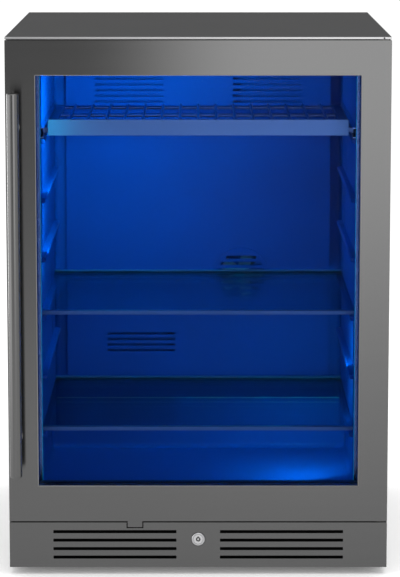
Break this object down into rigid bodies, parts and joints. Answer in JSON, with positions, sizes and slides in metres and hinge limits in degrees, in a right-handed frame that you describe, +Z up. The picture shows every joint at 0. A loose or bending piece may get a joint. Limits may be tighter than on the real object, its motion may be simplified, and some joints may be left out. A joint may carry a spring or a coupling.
{
  "type": "wine cooler",
  "caption": "Freestanding glass-door wine and drinks cooler with dark brushed steel door, bar handle, blue interior light, shelves, sliding rack, lock and vented toe grille.",
  "frame": {"origin": "centre of the bounding box on the floor plane the feet stand on", "axes": "+Z up, the door and handle face -Y, +X to the right as seen from the front"},
  "size_m": [0.595, 0.624, 0.85],
  "materials": {
    "black_stainless": "dark brushed stainless steel",
    "black_paint": "black powder coat",
    "bright_trim": "bright brushed trim",
    "galvanised": "galvanised sheet steel",
    "foam": "cream polyurethane foam",
    "blue_liner": "moulded dark blue liner",
    "blue_ledge": "moulded blue wall panel",
    "fins": "plate fins",
    "black_plastic": "black moulded plastic",
    "gloss_black": "glossy touch plate",
    "led_channel": "extruded channel",
    "led_lens": "frosted blue diffuser",
    "compressor_black": "gloss black enamel",
    "rubber": "black rubber",
    "copper": "copper tube",
    "white_plastic": "natural moulded plastic",
    "zinc": "zinc plated steel",
    "steel_blue": "satin steel",
    "clear_glass": "tempered clear glass",
    "door_glass": "tinted low-emissivity glass"
  },
  "bodies": {
    "cabinet": {"top_panel": "black_paint", "top_front_trim": "bright_trim", "side_panel_left": "black_paint", "side_panel_right": "black_paint", "rear_panel": "galvanised", "front_frame": "black_paint", "base_pan": "galvanised", "machine_bay_panel": "galvanised", "insulation_foam": "foam", "inner_liner": "blue_liner", "shelf_supports": "blue_ledge", "air_duct_cover": "blue_liner", "evaporator": "fins", "circulation_fan_motor": "black_plastic", "led_bars": "led_channel", "led_lenses": "led_lens", "control_panel": "black_plastic", "touch_display": "gloss_black", "compressor": "compressor_black", "compressor_grommets": "rubber", "condenser_coil": "black_paint", "condenser_fan_shroud": "black_plastic", "condenser_fan_motor": "black_plastic", "air_divider": "black_plastic", "drip_tray": "white_plastic", "filter_drier": "copper", "refrigerant_pipes": "copper", "service_cover": "galvanised", "mains_box": "black_plastic", "foot_sockets": "zinc", "toe_grille": "black_stainless", "lock_barrel": "zinc", "lock_guide": "zinc", "upper_hinge": "zinc", "lower_hinge": "zinc", "cabinet_screws": "zinc", "rack_runners": "zinc", "glass_shelves": "clear_glass", "shelf_trims": "steel_blue"},
    "door": {"door_skin": "black_stainless", "door_frame": "black_plastic", "glass_unit_front": "door_glass", "glass_unit_rear": "door_glass", "door_seal": "rubber", "handle_bar": "black_stainless", "handle_posts": "black_stainless", "handle_screws": "zinc", "hinge_bushes": "white_plastic", "lock_strike": "black_stainless"},
    "rack": {"rack_front": "steel_blue", "rack_wires": "steel_blue"},
    "lock_plug": {"lock_plug": "zinc", "lock_cam": "zinc"},
    "lock_bolt": {"lock_bolt": "zinc"},
    "condenser_fan": {"condenser_fan": "black_plastic"},
    "circulation_fan": {"circulation_fan": "black_plastic"},
    "foot_front_left": {"foot_front_left": "rubber"},
    "foot_front_right": {"foot_front_right": "rubber"},
    "foot_rear_left": {"foot_rear_left": "rubber"},
    "foot_rear_right": {"foot_rear_right": "rubber"}
  },
  "joints": [
    {"name": "door_hinge", "type": "hinge", "parent": "cabinet", "child": "door", "pos_m": [0.2855, -0.243, 0.45], "axis": [0, 0, 1], "range_deg": [0, 110]},
    {"name": "rack_slide", "type": "slide", "parent": "cabinet", "child": "rack", "axis": [0, -1, 0], "range_m": [0, 0.222]},
    {"name": "lock_turn", "type": "hinge", "parent": "cabinet", "child": "lock_plug", "pos_m": [0, -0.2645, 0.0575], "axis": [0, -1, 0], "range_deg": [0, 90]},
    {"name": "bolt_slide", "type": "slide", "parent": "cabinet", "child": "lock_bolt", "axis": [-1, 0, 0], "range_m": [0, 0.0129]},
    {"name": "condenser_fan_spin", "type": "hinge", "parent": "cabinet", "child": "condenser_fan", "pos_m": [-0.03, 0.226, 0.096], "axis": [1, 0, 0], "continuous": true},
    {"name": "circulation_fan_spin", "type": "hinge", "parent": "cabinet", "child": "circulation_fan", "pos_m": [0.075, 0.247, 0.393], "axis": [0, 1, 0], "continuous": true},
    {"name": "foot_front_left_screw", "type": "slide", "parent": "cabinet", "child": "foot_front_left", "axis": [0, 0, -1], "range_m": [0, 0.02]},
    {"name": "foot_front_right_screw", "type": "slide", "parent": "cabinet", "child": "foot_front_right", "axis": [0, 0, -1], "range_m": [0, 0.02]},
    {"name": "foot_rear_left_screw", "type": "slide", "parent": "cabinet", "child": "foot_rear_left", "axis": [0, 0, -1], "range_m": [0, 0.02]},
    {"name": "foot_rear_right_screw", "type": "slide", "parent": "cabinet", "child": "foot_rear_right", "axis": [0, 0, -1], "range_m": [0, 0.02]}
  ],
  "couplings": [
    {"joint": "rack_slide", "follows": "door_hinge", "m_per_rad": 0.115},
    {"joint": "bolt_slide", "follows": "lock_turn", "m_per_rad": 0.0081028}
  ]
}
